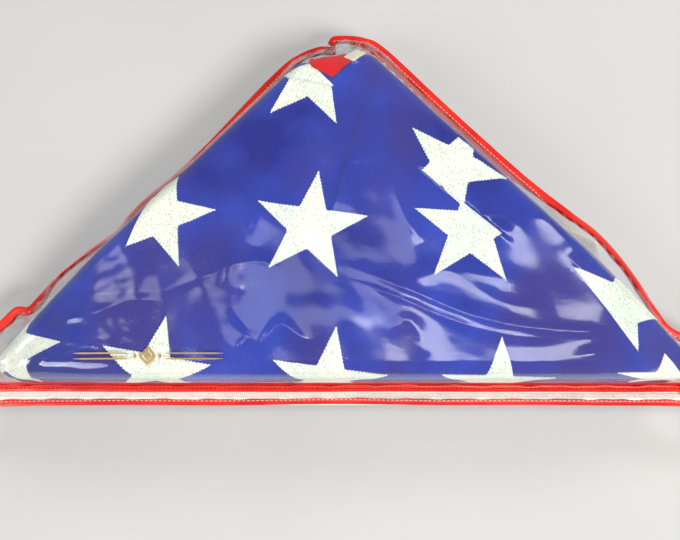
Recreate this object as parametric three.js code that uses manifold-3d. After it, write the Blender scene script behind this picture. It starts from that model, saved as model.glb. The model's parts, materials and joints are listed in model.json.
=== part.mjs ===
// Triangular zip case of clear vinyl for a folded 5 x 9.5 ft flag, lying on its back.
// Millimetres, +Z up, +X along the long edge, +Y from the long edge to the blunt tip.
import * as THREE from 'three';
import Module from 'manifold-3d';
import { mergeVertices } from 'three/addons/utils/BufferGeometryUtils.js';

const wasm = await Module();
wasm.setup();

// ---- driving dimensions ----
const SIDE_SUM = 328; // x + y along a slanting side of the case, which runs at 45 degrees
const TIP_Y = 306; // blunt tip of the case, from the inner edge of the long-side binding
const CASE_TOP = 86; // crown of the front panel
const VINYL = 0.6; // clear sheet
const GAP = 0.3; // air left between pieces that touch
const FRONT_RIM_Y = -4.6; // cut edge of the front panel along the zip
const BACK_RIM_Y = -16.4; // cut edge of the back panel along the zip
const CORNER_R = 12;
const FLANGE = 4.8; // flat edge of each panel, held by the binding
const FLANGE_Z = 37.25; // underside of the back panel's flat edge
const ZIP_LIFT = 2; // the front panel's flat edge rises by this much over the zip tape
const RAMP = [302, 290]; // x at which that rise starts and ends, from either corner
const BIND = 0.8; // folded vinyl binding
const BIND_LEG = 4.1; // how far the binding laps over a panel
const ZIP_Y = -8.9; // centre line of the zip
const ZIP_HALF = 308; // half the length of the zip tapes
const TAPE_Z = FLANGE_Z + VINYL + GAP; // underside of the tapes
const COIL_W = 1.3;
const COIL_H = 1.9;
const COIL_GAP = 1; // between the two rows
const TOOTH_PITCH = 3;
const SLIDER_X = 293; // slider at the closed end
const SLIDER_L = 12;
const SLIDER_W = 5.6;
const PIVOT_Z = 42.6; // pull's hinge line, above the slider's top plate
const FLAG_SUM = 294; // x + y along a slanting side of the folded flag
const FLAG_Y = 4.5; // front face of the folded flag
const FLAG_TIP_Y = 262;
const FLAG_TOP = 82.6;
const FLAG_LOW = 1.5;
const FLAG_SPLIT = 40; // level at which the upper and the under layer of the wrap meet
const WRAP = 3.6; // outer folds of blue cloth
const STAR_R = 45; // a 90 mm star, as on a 5 ft flag
const STAR_T = 1;

const CENTRE = new THREE.Vector2(0, 40); // rings of the panels and the flag shrink towards this
const REAR = TIP_Y + GAP + BIND; // outermost y of the binding
const FRONT = BACK_RIM_Y - GAP - BIND;
const SHIFT = -(REAR + FRONT) / 2; // moves the box centre to y = 0

// ---- materials ----
const paint = (name, color, roughness, metalness = 0, extra = {}) =>
  new THREE.MeshStandardMaterial({ name, color, roughness, metalness, ...extra });
const clear = { transparent: true, opacity: 0.3 };
const VINYL_MAT = paint('clear_vinyl', 0xdfe6ea, 0.12, 0, clear);
const RED_MAT = paint('red_vinyl', 0xd8261c, 0.35);
const TAPE_MAT = paint('zip_white', 0xf2ede0, 0.7);
const COIL_MAT = paint('coil_white', 0xf6f3ea, 0.4);
const METAL_MAT = paint('slider_metal', 0xc9c9c7, 0.25, 1);
const BLUE_MAT = paint('blue_cloth', 0x252c86, 0.9);
const STAR_MAT = paint('star_thread', 0xeceedd, 0.85);
const STRIPE_MAT = paint('stripe_cloth', 0xb8141f, 0.9);
const CREAM_MAT = paint('white_cloth', 0xefe8d2, 0.9);
const BRASS_MAT = paint('brass', 0xb08a3c, 0.35, 1);
const FOIL_MAT = paint('gold_foil', 0xc9a24a, 0.3, 1);

const group = new THREE.Group();
group.name = 'folded_flag_case';

// ---- helpers ----
function add(name, geometry, material) {
  const g = geometry.clone();
  g.translate(0, SHIFT, 0);
  g.computeVertexNormals();
  const mesh = new THREE.Mesh(g, material);
  mesh.name = name;
  group.add(mesh);
}

// Convex polygon with rounded corners, counter-clockwise.
function rounded(corners, radii, steps) {
  const out = [];
  corners.forEach((p, i) => {
    const a = corners[(i + corners.length - 1) % corners.length];
    const b = corners[(i + 1) % corners.length];
    const u = a.clone().sub(p).normalize();
    const v = b.clone().sub(p).normalize();
    const half = Math.acos(u.dot(v)) / 2;
    const reach = radii[i] / Math.tan(half);
    const mid = u.clone().add(v).normalize().multiplyScalar(radii[i] / Math.sin(half)).add(p);
    const from = p.clone().addScaledVector(u, reach).sub(mid);
    const turn = Math.PI - 2 * half;
    for (let k = 0; k <= steps; k += 1) {
      out.push(from.clone().rotateAround(new THREE.Vector2(), (turn * k) / steps).add(mid));
    }
  });
  return out;
}

// Splits the long sides of an outline so that no step is over the given length.
function divided(points, step) {
  const out = [];
  points.forEach((p, i) => {
    const q = points[(i + 1) % points.length];
    const n = Math.max(1, Math.ceil(p.distanceTo(q) / step));
    for (let k = 0; k < n; k += 1) out.push(p.clone().lerp(q, k / n));
  });
  return out;
}

// Moves every point of a counter-clockwise outline inwards by d.
function inset(points, d) {
  const n = points.length;
  return points.map((p, i) => {
    const along = points[(i + 1) % n].clone().sub(points[(i + n - 1) % n]).normalize();
    return new THREE.Vector2(p.x - along.y * d, p.y + along.x * d);
  });
}

function shrunk(points, s) {
  return points.map((p) => p.clone().sub(CENTRE).multiplyScalar(s).add(CENTRE));
}

function solid(positions, index) {
  const g = new THREE.BufferGeometry();
  let volume = 0;
  const v = (i) => new THREE.Vector3().fromArray(positions, 3 * i);
  for (let i = 0; i < index.length; i += 3) {
    volume += v(index[i]).dot(v(index[i + 1]).cross(v(index[i + 2])));
  }
  g.setAttribute('position', new THREE.Float32BufferAttribute(positions, 3));
  g.setIndex(volume > 0 ? index : index.slice().reverse());
  return g;
}

// Closed body from a stack of rings of equal length, with a pole point at each end.
function ringed(first, rings, last) {
  const n = rings[0].length;
  const positions = [...first, ...rings.flat().flatMap((p) => [p.x, p.y, p.z]), ...last];
  const index = [];
  const end = 1 + rings.length * n;
  for (let i = 0; i < n; i += 1) {
    const j = (i + 1) % n;
    index.push(0, 1 + i, 1 + j);
    for (let r = 0; r + 1 < rings.length; r += 1) {
      const a = 1 + r * n;
      const b = a + n;
      index.push(a + i, b + i, b + j, a + i, b + j, a + j);
    }
    const c = end - n;
    index.push(c + i, end, c + j);
  }
  return solid(positions, index);
}

// A section of (outwards, up) points swept along a level path, with flat ends.
function swept(path, section) {
  const positions = [];
  const index = [];
  const m = section.length;
  path.forEach((p, i) => {
    const a = path[Math.max(0, i - 1)];
    const b = path[Math.min(path.length - 1, i + 1)];
    const t = b.clone().sub(a).normalize();
    section.forEach(([out, up]) => positions.push(p.x + t.y * out, p.y - t.x * out, up));
  });
  for (let i = 0; i + 1 < path.length; i += 1) {
    for (let k = 0; k < m; k += 1) {
      const l = (k + 1) % m;
      const a = i * m;
      const b = a + m;
      index.push(a + k, b + k, b + l, a + k, b + l, a + l);
    }
  }
  const flat = section.map(([x, y]) => new THREE.Vector2(x, y));
  const back = (path.length - 1) * m;
  THREE.ShapeUtils.triangulateShape(flat, []).forEach(([a, b, c]) => {
    index.push(a, b, c, back + c, back + b, back + a);
  });
  return solid(positions, index);
}

function box(x0, x1, y0, y1, z0, z1) {
  const g = new THREE.BoxGeometry(x1 - x0, y1 - y0, z1 - z0);
  g.translate((x0 + x1) / 2, (y0 + y1) / 2, (z0 + z1) / 2);
  return g;
}

function toManifold(geometry) {
  const bare = new THREE.BufferGeometry();
  bare.setAttribute('position', geometry.getAttribute('position').clone());
  if (geometry.index) bare.setIndex(geometry.index.clone());
  const g = mergeVertices(bare, 1e-4);
  const vertProperties = new Float32Array(g.getAttribute('position').array);
  const triVerts = new Uint32Array(g.index.array);
  return new wasm.Manifold(new wasm.Mesh({ numProp: 3, vertProperties, triVerts }));
}

function fromManifold(m) {
  const mesh = m.getMesh();
  const g = new THREE.BufferGeometry();
  g.setAttribute('position', new THREE.Float32BufferAttribute(mesh.vertProperties, 3));
  g.setIndex(Array.from(mesh.triVerts));
  return g;
}

function joined(parts) {
  return fromManifold(parts.map(toManifold).reduce((a, b) => a.add(b)));
}

// ---- clear panels ----
function caseOutline(rimY, radius) {
  const x = SIDE_SUM - rimY;
  const tip = SIDE_SUM - TIP_Y;
  const corners = [
    new THREE.Vector2(x, rimY),
    new THREE.Vector2(tip, TIP_Y),
    new THREE.Vector2(-tip, TIP_Y),
    new THREE.Vector2(-x, rimY),
  ];
  const marks = [-RAMP[0], -RAMP[1], RAMP[1], RAMP[0]].map((m) => new THREE.Vector2(m, rimY));
  return [...rounded(corners, [radius, radius, radius, radius], 6), ...marks];
}

// The front panel's edge rises over the zip between the two ramps.
function lift(p, rimY) {
  if (p.y > rimY + FLANGE + 1) return 0;
  const t = (RAMP[0] - Math.abs(p.x)) / (RAMP[0] - RAMP[1]);
  return ZIP_LIFT * THREE.MathUtils.clamp(t, 0, 1);
}

// profile: [shrink, share of the way from the flat edge to the crown] from the edge inwards.
function panel(rimY, edgeZ, crown, lifted, profile) {
  const rim = divided(caseOutline(rimY, CORNER_R), 22);
  const inner = inset(rim, FLANGE);
  const rise = (i) => (lifted ? lift(rim[i], rimY) : 0);
  const upward = crown > edgeZ;
  const ring = (points, z) => points.map((p, i) => new THREE.Vector3(p.x, p.y, z + rise(i)));
  const bowl = (dip, edge, top) => profile.map(([s, w]) =>
    shrunk(inner, s - dip).map((p, i) => {
      const base = edge + rise(i);
      return new THREE.Vector3(p.x, p.y, base + (top - base) * w);
    }));
  const far = upward ? edgeZ + VINYL : edgeZ;
  const near = upward ? edgeZ : edgeZ + VINYL;
  const inside = upward ? crown - VINYL : crown + VINYL;
  const rings = [
    ...bowl(0, far, crown).reverse(),
    ring(inner, far),
    ring(rim, far),
    ring(rim, near),
    ring(inner, near),
    ...bowl(0.014, near, inside),
  ];
  return ringed([CENTRE.x, CENTRE.y, crown], rings, [CENTRE.x, CENTRE.y, inside]);
}

const PILLOW = [
  [0.985, 0.25], [0.968, 0.47], [0.95, 0.66], [0.93, 0.8], [0.9, 0.91], [0.86, 0.965],
  [0.78, 0.995], [0.6, 1], [0.3, 1],
];
const TRAY = [
  [0.985, 0.2], [0.965, 0.45], [0.94, 0.68], [0.91, 0.85], [0.87, 0.96], [0.82, 1], [0.4, 1],
];
const frontPanel = panel(FRONT_RIM_Y, FLANGE_Z + VINYL + GAP, CASE_TOP, true, PILLOW);
add('front_panel', frontPanel, VINYL_MAT);
add('back_panel', panel(BACK_RIM_Y, FLANGE_Z, 0, false, TRAY), VINYL_MAT);

// ---- red binding, folded over the panel edges ----
// Channel open towards the case: z0 and z1 are the faces of its slot.
function channel(z0, z1) {
  const w = GAP + BIND;
  return [
    [-BIND_LEG, z0 - BIND], [w, z0 - BIND], [w, z1 + BIND], [-BIND_LEG, z1 + BIND],
    [-BIND_LEG, z1], [GAP, z1], [GAP, z0], [-BIND_LEG, z0],
  ];
}

const SLOT = [FLANGE_Z - GAP, FLANGE_Z + 2 * VINYL + 2 * GAP];
const outline = divided(caseOutline(BACK_RIM_Y, CORNER_R), 22);
const straightX = Math.max(...outline.filter((p) => p.y < BACK_RIM_Y + 0.01).map((p) => p.x));
const seam = outline.filter((p) => p.y > BACK_RIM_Y + 0.01);
const LAP_X = -20; // the two side bindings meet here, just left of the tip
const rightSide = seam.filter((p) => p.x > LAP_X + 1);
const leftSide = seam.filter((p) => p.x < LAP_X - 1);
add('binding_right', swept(rightSide, channel(...SLOT)), RED_MAT);
add('binding_left', swept(leftSide, channel(...SLOT)), RED_MAT);

const lowEdge = [new THREE.Vector2(-straightX, BACK_RIM_Y), new THREE.Vector2(straightX, BACK_RIM_Y)];
add('zip_binding_back', swept(lowEdge, channel(...SLOT)), RED_MAT);
const highZ = TAPE_Z + ZIP_LIFT; // underside of the front panel's raised edge
const highEdge = [
  new THREE.Vector2(2 - RAMP[1], FRONT_RIM_Y),
  new THREE.Vector2(RAMP[1] - 2, FRONT_RIM_Y),
];
add('zip_binding_front', swept(highEdge, channel(highZ - GAP, highZ + VINYL + GAP)), RED_MAT);

// ---- zip ----
const rowInner = COIL_GAP / 2;
const rowOuter = rowInner + COIL_W;
const tapeStart = rowOuter + GAP;
const frontHalf = RAMP[1] - 2; // the front tape ends where the panel's edge comes down
const tape = (half, y0, y1) => box(-half, half, y0, y1, TAPE_Z, TAPE_Z + VINYL);
add('zip_tape_front', tape(frontHalf, ZIP_Y + tapeStart, -0.6), TAPE_MAT);
add('zip_tape_back', tape(ZIP_HALF, BACK_RIM_Y, ZIP_Y - tapeStart), TAPE_MAT);

function coilRow(side) {
  const half = ZIP_HALF - 6;
  const shape = new THREE.Shape();
  const y = (d) => ZIP_Y + side * d;
  shape.moveTo(-half, y(rowOuter));
  shape.lineTo(-half, y(rowInner));
  const count = Math.round((2 * half) / TOOTH_PITCH);
  for (let i = 0; i < count; i += 1) {
    const x = -half + i * TOOTH_PITCH;
    shape.lineTo(x + TOOTH_PITCH * 0.55, y(rowInner));
    shape.lineTo(x + TOOTH_PITCH * 0.7, y(rowInner + 0.55));
    shape.lineTo(x + TOOTH_PITCH * 0.85, y(rowInner + 0.55));
    shape.lineTo(x + TOOTH_PITCH, y(rowInner));
  }
  shape.lineTo(half, y(rowOuter));
  const g = new THREE.ExtrudeGeometry(shape, { depth: COIL_H, bevelEnabled: false });
  g.translate(0, 0, TAPE_Z + VINYL / 2 - COIL_H / 2);
  return mergeVertices(g.deleteAttribute('uv').deleteAttribute('normal'), 1e-4);
}
add('zip_coil_front', coilRow(1), COIL_MAT);
add('zip_coil_back', coilRow(-1), COIL_MAT);

const coilTop = TAPE_Z + VINYL / 2 + COIL_H / 2;
const coilLow = coilTop - COIL_H;
const plateLow = coilTop + GAP + 0.05;
const plateTop = plateLow + 1;
const frontEnd = SLIDER_X + SLIDER_L / 2;
const backEnd = SLIDER_X - SLIDER_L / 2;
const wing = SLIDER_W / 2;
const PIVOT_X = SLIDER_X;
const BRIDGE_W = 1.2; // half width of the arch that holds the pull
const slider = [
  box(backEnd, frontEnd, ZIP_Y - wing, ZIP_Y + wing, plateLow, plateTop),
  box(backEnd, frontEnd, ZIP_Y - wing + 0.7, ZIP_Y + wing - 0.7, coilLow - GAP - 1, coilLow - GAP),
  box(SLIDER_X, frontEnd, ZIP_Y - 0.2, ZIP_Y + 0.2, coilLow - GAP - 0.5, plateTop),
  box(PIVOT_X - 3.4, PIVOT_X - 2.2, ZIP_Y - BRIDGE_W, ZIP_Y + BRIDGE_W, plateTop - 0.2, PIVOT_Z + 2.2),
  box(PIVOT_X + 2.2, PIVOT_X + 3.4, ZIP_Y - BRIDGE_W, ZIP_Y + BRIDGE_W, plateTop - 0.2, PIVOT_Z + 2.2),
  box(PIVOT_X - 3.4, PIVOT_X + 3.4, ZIP_Y - BRIDGE_W, ZIP_Y + BRIDGE_W, PIVOT_Z + 1.2, PIVOT_Z + 2.2),
];
add('zip_slider', joined(slider), METAL_MAT);

// Pull: a round bar through the arch, two arms outside it and a tongue with a slot.
const PULL_L = 24;
const armIn = BRIDGE_W + GAP;
const armOut = armIn + 1;
const bar = new THREE.CylinderGeometry(0.6, 0.6, 2 * armIn + 1, 16);
bar.translate(PIVOT_X, ZIP_Y, PIVOT_Z);
const tongue = new THREE.Shape();
tongue.moveTo(PIVOT_X - 4.6, ZIP_Y - armOut);
tongue.lineTo(PIVOT_X - 4.6, ZIP_Y + armOut);
tongue.lineTo(PIVOT_X - PULL_L + 3, ZIP_Y + 3.4);
tongue.absarc(PIVOT_X - PULL_L + 3, ZIP_Y, 3.4, Math.PI / 2, (3 * Math.PI) / 2, false);
const hole = new THREE.Path();
hole.absarc(PIVOT_X - PULL_L + 4, ZIP_Y, 1.4, 0, 2 * Math.PI, true);
tongue.holes.push(hole);
const flatCut = { depth: 1, bevelEnabled: false, curveSegments: 10 };
const tongueBody = new THREE.ExtrudeGeometry(tongue, flatCut);
tongueBody.translate(0, 0, PIVOT_Z - 0.5);
const pull = [
  bar,
  tongueBody,
  box(PIVOT_X - 4.7, PIVOT_X + 0.5, ZIP_Y + armIn, ZIP_Y + armOut, PIVOT_Z - 0.5, PIVOT_Z + 0.5),
  box(PIVOT_X - 4.7, PIVOT_X + 0.5, ZIP_Y - armOut, ZIP_Y - armIn, PIVOT_Z - 0.5, PIVOT_Z + 0.5),
];
add('zip_pull', joined(pull), METAL_MAT);

// Crimped stops at the two ends of the rows.
function stop(x) {
  return box(x - 1.6, x + 1.6, ZIP_Y - 1.8, ZIP_Y + 1.8, coilLow - 0.2, coilTop + 0.2);
}
add('zip_stop_closed', stop(ZIP_HALF - 4), METAL_MAT);
add('zip_stop_open', stop(4 - ZIP_HALF), METAL_MAT);

// ---- folded flag ----
function flagOutline() {
  const tip = FLAG_SUM - FLAG_TIP_Y;
  const corners = [
    new THREE.Vector2(FLAG_SUM - FLAG_Y, FLAG_Y),
    new THREE.Vector2(tip, FLAG_TIP_Y),
    new THREE.Vector2(-tip, FLAG_TIP_Y),
    new THREE.Vector2(FLAG_Y - FLAG_SUM, FLAG_Y),
  ];
  return rounded(corners, [16, 14, 14, 16], 6);
}
const flagRim = divided(flagOutline(), 26);
const flagRing = (s, z) => shrunk(flagRim, s).map((p) => new THREE.Vector3(p.x, p.y, z));
const stack = (list) => list.map(([s, z]) => flagRing(s, z));
const pole = (z) => [CENTRE.x, CENTRE.y, z];

const upper = [[0.4, FLAG_TOP], [0.9, FLAG_TOP], [0.95, 80.4], [0.98, 75.5], [0.996, 66], [1, 55]];
const under = [[0.4, FLAG_LOW], [0.86, FLAG_LOW], [0.93, 5.5], [0.965, 12], [0.99, 22], [1, 32]];
const WALL = 0.018; // shrink that leaves about a WRAP of cloth at the slanting sides
const insideOf = (list, sign) => list.map(([s, z]) => [s - WALL, z - sign * WRAP]).reverse();

const upperShell = stack([
  ...upper,
  [1, FLAG_SPLIT + GAP / 2],
  [1 - WALL, FLAG_SPLIT + GAP / 2],
  ...insideOf(upper, 1),
]);
add('flag_wrap_upper', ringed(pole(FLAG_TOP), upperShell, pole(FLAG_TOP - WRAP)), BLUE_MAT);
const underShell = stack([
  ...under,
  [1, FLAG_SPLIT - GAP / 2],
  [1 - WALL, FLAG_SPLIT - GAP / 2],
  ...insideOf(under, -1),
]);
add('flag_wrap_under', ringed(pole(FLAG_LOW), underShell, pole(FLAG_LOW + WRAP)), BLUE_MAT);

const core = (list, sign) =>
  list.map(([s, z]) => [s - WALL - 0.012, z - sign * (WRAP + GAP + 0.4)]);
const coreRings = stack([...core(upper, 1), ...core(under, -1).reverse()]);
add('flag_stripe_folds',
  ringed(pole(FLAG_TOP - WRAP - GAP - 0.4), coreRings, pole(FLAG_LOW + WRAP + GAP + 0.4)), STRIPE_MAT);

// Stars stitched on the face of the flag: centre x, y and clockwise turn in degrees. The two
// on the right also say which side of the fold between them they lie on.
const STARS = {
  tip: [-28, 234, 10],
  left: [-142, 126, 12],
  middle: [-28, 119, 8],
  right_high: [84, 168, 29, 1],
  right_low: [97, 115, 4, -1],
  far_right: [200, 54, 22],
  front_left: [-142, 9, 8],
  front_middle: [-12, 2, 8],
  front_right: [113, 1, 4],
  corner_left: [-240, 26, 20],
};
const facePoints = shrunk(flagOutline(), 0.895);
const face = new THREE.ExtrudeGeometry(new THREE.Shape(facePoints), { depth: 10, bevelEnabled: false });
face.translate(0, 0, FLAG_TOP - 2);
const faceBody = toManifold(face);

const FOLD = new THREE.Vector2(90, 139); // a point of that fold, which runs down to the right
function foldSide(side) {
  const [y0, y1] = side > 0 ? [0.2, 120] : [-120, -0.2];
  const g = box(-120, 120, y0, y1, FLAG_TOP - 2, FLAG_TOP + 4);
  g.rotateZ(-THREE.MathUtils.degToRad(41));
  g.translate(FOLD.x, FOLD.y, 0);
  return toManifold(g);
}

function star(x, y, turn, side) {
  const shape = new THREE.Shape();
  for (let i = 0; i < 10; i += 1) {
    const r = i % 2 ? STAR_R * 0.382 : STAR_R;
    const a = Math.PI / 2 - THREE.MathUtils.degToRad(turn) + (i * Math.PI) / 5;
    shape[i ? 'lineTo' : 'moveTo'](x + r * Math.cos(a), y + r * Math.sin(a));
  }
  const g = new THREE.ExtrudeGeometry(shape, { depth: STAR_T, bevelEnabled: false });
  g.translate(0, 0, FLAG_TOP + GAP);
  const whole = toManifold(g).intersect(faceBody);
  return fromManifold(side ? whole.intersect(foldSide(side)) : whole);
}
Object.entries(STARS).forEach(([name, place]) => add(`star_${name}`, star(...place), STAR_MAT));

// Ends of the inner layers that show past the blue wrap at the tip.
function slab(points, z0, z1) {
  const shape = new THREE.Shape(points.map(([x, y]) => new THREE.Vector2(x, y)));
  const g = new THREE.ExtrudeGeometry(shape, { depth: z1 - z0, bevelEnabled: false });
  g.translate(0, 0, z0);
  return g;
}
const tipY = FLAG_TIP_Y + GAP + 0.2;
const redEnd = [[-30, tipY], [-4, tipY], [2, tipY + 14], [-22, tipY + 16]];
const whiteEnd = [[-2, tipY], [20, tipY], [22, tipY + 12], [6, tipY + 14]];
add('flag_red_end', slab(redEnd, 46, 54), STRIPE_MAT);
add('flag_white_end', slab(whiteEnd, 46, 52), CREAM_MAT);

// Canvas heading of the flag: its end lies against the right-hand slope, with one grommet.
const HEAD_T = 1.6;
const slope = (FLAG_SUM + (HEAD_T + GAP) * Math.SQRT2) / 2;
const headingAt = (g) => {
  g.rotateZ(-Math.PI / 4);
  g.translate(slope + 47, slope - 47, 0);
  return g;
};
const strip = toManifold(box(-40, 40, -HEAD_T, 0, 24, 58));
const eye = new THREE.CylinderGeometry(5.4, 5.4, 12, 24);
eye.translate(-24, 0, 41);
const heading = fromManifold(strip.subtract(toManifold(eye)));
add('flag_heading', headingAt(heading), CREAM_MAT);
const eyelet = [[3, 0], [5, 0], [5, HEAD_T], [3, HEAD_T], [3, 0]];
const grommet = new THREE.LatheGeometry(eyelet.map(([x, y]) => new THREE.Vector2(x, y)), 24);
grommet.translate(-24, -HEAD_T, 41);
const grommetBody = new THREE.BufferGeometry();
grommetBody.setAttribute('position', grommet.getAttribute('position'));
grommetBody.setIndex(grommet.index);
add('flag_grommet', headingAt(mergeVertices(grommetBody, 1e-4)), BRASS_MAT);

// Plain ornament in gold foil on the front panel: a rule with a diamond at its middle.
const FOIL_Z = CASE_TOP + 0.1;
const foil = [
  box(-198, -94, 19.8, 21.4, FOIL_Z, FOIL_Z + 0.4),
  slab([[-154, 20.6], [-146, 14.6], [-138, 20.6], [-146, 26.6]], FOIL_Z, FOIL_Z + 0.4),
];
add('foil_ornament', joined(foil), FOIL_MAT);

export default group;
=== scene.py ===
import json
import math
import random

import bpy
import numpy as np
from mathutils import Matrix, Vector, noise


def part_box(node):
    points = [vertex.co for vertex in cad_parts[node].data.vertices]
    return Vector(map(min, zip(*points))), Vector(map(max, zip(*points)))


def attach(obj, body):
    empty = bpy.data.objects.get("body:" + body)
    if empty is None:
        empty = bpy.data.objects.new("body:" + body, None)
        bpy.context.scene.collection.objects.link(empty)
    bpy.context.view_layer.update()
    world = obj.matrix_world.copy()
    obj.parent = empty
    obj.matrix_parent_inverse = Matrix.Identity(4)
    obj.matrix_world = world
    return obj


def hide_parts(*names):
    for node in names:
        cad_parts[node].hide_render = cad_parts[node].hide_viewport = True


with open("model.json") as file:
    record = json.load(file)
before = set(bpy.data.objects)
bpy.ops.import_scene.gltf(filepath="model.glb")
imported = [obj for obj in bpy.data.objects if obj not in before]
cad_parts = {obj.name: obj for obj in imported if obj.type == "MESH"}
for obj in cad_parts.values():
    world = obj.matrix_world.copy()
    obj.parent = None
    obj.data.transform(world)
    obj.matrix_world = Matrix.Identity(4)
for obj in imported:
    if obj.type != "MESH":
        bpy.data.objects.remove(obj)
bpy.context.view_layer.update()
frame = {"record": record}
random.seed(7)

# ---- places taken from the frame ----
wrap_low, wrap_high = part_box("flag_wrap_upper")
under_low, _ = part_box("flag_wrap_under")
coil_front_low, coil_front_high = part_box("zip_coil_front")
_, coil_back_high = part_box("zip_coil_back")
slider_low, slider_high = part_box("zip_slider")
binding_low, binding_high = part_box("binding_right")
foil_low, foil_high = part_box("foil_ornament")
joints = {j["name"]: j for j in frame["record"]["behaviour"]["joints"]}

FLAG_Y = 4.5  # front face of the flag in the case's plan
Y0 = wrap_low.y - FLAG_Y / 1000
TOP = wrap_high.z * 1000 - 0.8  # face of the flag
LOW = under_low.z * 1000
SEAM_Z = (binding_low.z + binding_high.z) * 500
ZIP_Y = (coil_front_low.y + coil_back_high.y) * 500 - Y0 * 1000
ZIP_Z = (coil_front_low.z + coil_front_high.z) * 500
ZIP_HALF = coil_front_high.x * 1000

# The flag's plan, less the round of its edges.
ROUND = 13.0
SUM = 294 - ROUND * math.sqrt(2)
CORE = np.array(
    [
        [-(SUM - FLAG_Y - ROUND), FLAG_Y + ROUND],
        [SUM - FLAG_Y - ROUND, FLAG_Y + ROUND],
        [SUM - 258, 258],
        [-34, 250],
    ]
)
CENTRE = np.array([0.0, 78.0])

# Seam line of the case, from its right-hand lower corner round the tip to the left-hand one.
RIGHT_SEAM = [
    (335, -15), (341, -9), (337, -2), (322, 11), (303, 27), (286, 37), (272, 42), (263, 49),
    (254, 63), (243, 83), (232, 101), (214, 124), (186, 148), (151, 179), (92, 238), (38, 294),
    (18, 306), (-8, 308), (-14, 302),
]  # fmt: skip
LEFT_SEAM = [
    (-8, 300), (-17, 299), (-40, 290), (-64, 269), (-134, 188), (-166, 158), (-181, 142),
    (-191, 127), (-210, 113), (-234, 93), (-254, 69), (-261, 62), (-271, 62), (-281, 52),
    (-303, 29), (-322, 11), (-337, -2), (-341, -9), (-335, -15),
]  # fmt: skip


# ---- plan geometry ----
def curve_points(points, step):
    """A smooth curve through the points, in even steps."""
    p = np.array(points, float)
    p = np.vstack([2 * p[0] - p[1], p, 2 * p[-1] - p[-2]])
    fine = []
    for i in range(1, len(p) - 2):
        t = np.linspace(0, 1, 24, endpoint=False)[:, None]
        a, b, c, d = p[i - 1 : i + 3]
        square = 2 * a - 5 * b + 4 * c - d
        cube = 3 * b - a - 3 * c + d
        fine.append(0.5 * (2 * b + (c - a) * t + square * t**2 + cube * t**3))
    fine = np.vstack([*fine, p[-2:-1]])
    return even(fine, step)


def even(line, step):
    """The same line in even steps."""
    gaps = np.linalg.norm(np.diff(line, axis=0), axis=1)
    at = np.concatenate([[0], np.cumsum(gaps)])
    want = np.linspace(0, at[-1], max(2, int(at[-1] / step) + 1))
    return np.stack([np.interp(want, at, line[:, k]) for k in range(line.shape[1])], 1)


def to_line(p, line):
    """Distance from each plan point to a line, and how far along it the nearest point is, 0 to 1."""
    best = np.full(len(p), 1e9)
    along = np.zeros(len(p))
    for i, (a, b) in enumerate(zip(line[:-1], line[1:])):
        d = b - a
        t = np.clip(((p - a) @ d) / max(d @ d, 1e-9), 0, 1)
        r = np.linalg.norm(p - a - t[:, None] * d, axis=1)
        near = r < best
        best[near] = r[near]
        along[near] = (i + t[near]) / (len(line) - 1)
    return best, along


def away(p, core):
    """Distance from a convex outline, 0 inside, with the nearest point and the direction outwards."""
    best = np.full(len(p), 1e9)
    near = p.copy()
    inside = np.ones(len(p), bool)
    for a, b in zip(core, np.roll(core, -1, 0)):
        d = b - a
        t = np.clip(((p - a) @ d) / (d @ d), 0, 1)
        q = a + t[:, None] * d
        r = np.linalg.norm(p - q, axis=1)
        m = r < best
        best[m] = r[m]
        near[m] = q[m]
        inside &= d[0] * (p[:, 1] - a[1]) - d[1] * (p[:, 0] - a[0]) >= 0
    out = (p - near) / np.maximum(best, 1e-6)[:, None]
    best[inside] = 0
    near[inside] = p[inside]
    return best, near, out


def smooth(lo, hi, x):
    """0 at lo, 1 at hi and a soft rise between; lo may be the larger."""
    t = np.clip((x - lo) / (hi - lo), 0, 1)
    return t * t * (3 - 2 * t)


def grain(p, size, seed, stretch=(1.0, 1.0), turn=0.0, octaves=2):
    """Smooth noise over the plan, about -1 to 1."""
    c, s = math.cos(turn), math.sin(turn)
    x = (p[:, 0] * c + p[:, 1] * s) / (size * stretch[0])
    y = (p[:, 1] * c - p[:, 0] * s) / (size * stretch[1])
    out = np.zeros(len(p))
    for k in range(octaves):
        f = 2.0**k
        layer = [noise.noise(Vector((a * f, b * f, seed + 5.3 * k))) for a, b in zip(x, y)]
        out += np.array(layer) / f
    return out


def ridge(p, points, width, height):
    """A long soft ridge along a curve, dying out at its ends."""
    line = curve_points(points, 6)
    d, t = to_line(p, line)
    return height * np.exp(-((d / width) ** 1.5)) * np.minimum(1, 5 * np.minimum(t, 1 - t))


def step_edge(p, a, b, width, height, reach):
    """A layer's edge from a to b: the side on its left stands higher and falls back with distance."""
    a, b = np.array(a, float), np.array(b, float)
    d = (b - a) / np.linalg.norm(b - a)
    side = d[0] * (p[:, 1] - a[1]) - d[1] * (p[:, 0] - a[0])
    t = ((p - a) @ d) / np.linalg.norm(b - a)
    ends = smooth(-0.12, 0.08, t) * smooth(1.12, 0.92, t)
    return height * smooth(-width, width, side) * np.exp(-np.maximum(side, 0) / reach) * ends


# ---- the flag's face ----
def droop(x):
    """The folded flag thins towards its two long corners."""
    return 24 * smooth(175, 300, np.abs(x))


FOLD_A, FOLD_B = (60, 166), (124, 110)  # edge of the layer that parts the two stars on the right
FLAP_A, FLAP_B = (-10, 244), (17, 270)  # edge of the pocket at the tip


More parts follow.
